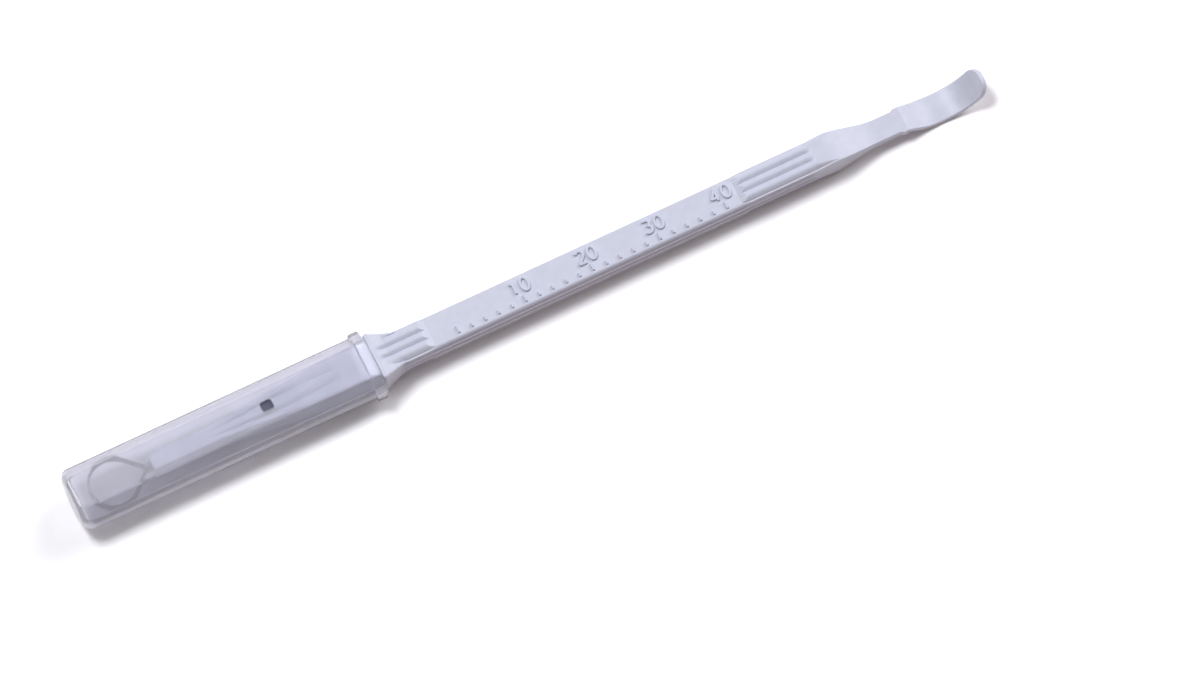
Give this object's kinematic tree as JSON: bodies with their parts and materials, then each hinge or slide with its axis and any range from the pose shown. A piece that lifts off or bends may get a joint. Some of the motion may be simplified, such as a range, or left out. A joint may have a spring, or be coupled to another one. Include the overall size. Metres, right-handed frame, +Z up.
{
  "type": "curette",
  "caption": "Disposable ring curette: white fluted plastic handle with a spatula end, steel ring blade, and a translucent push-on protective cap.",
  "frame": {"origin": "bottom centre of the bounding box with the cap on, on the surface it lies on", "axes": "+X along the handle to the spatula's tip, which dips 0.57 degrees as the capped curette rests on its cap and spatula; +Z up on the flat panel's side; +Y across"},
  "size_m": [0.1358, 0.0096, 0.0068],
  "materials": {
    "white_plastic": "moulded, fine satin",
    "stainless_steel": "bright rolled strip",
    "frosted_cap": "translucent, slightly hazy"
  },
  "bodies": {
    "instrument": {"handle": "white_plastic", "ring_blade": "stainless_steel"},
    "cap": {"protective_cap": "frosted_cap"}
  },
  "joints": [
    {"name": "cap_slide", "type": "slide", "parent": "instrument", "child": "cap", "axis": [-0.9999, 0, 0.01], "range_m": [0, 0.05]}
  ]
}
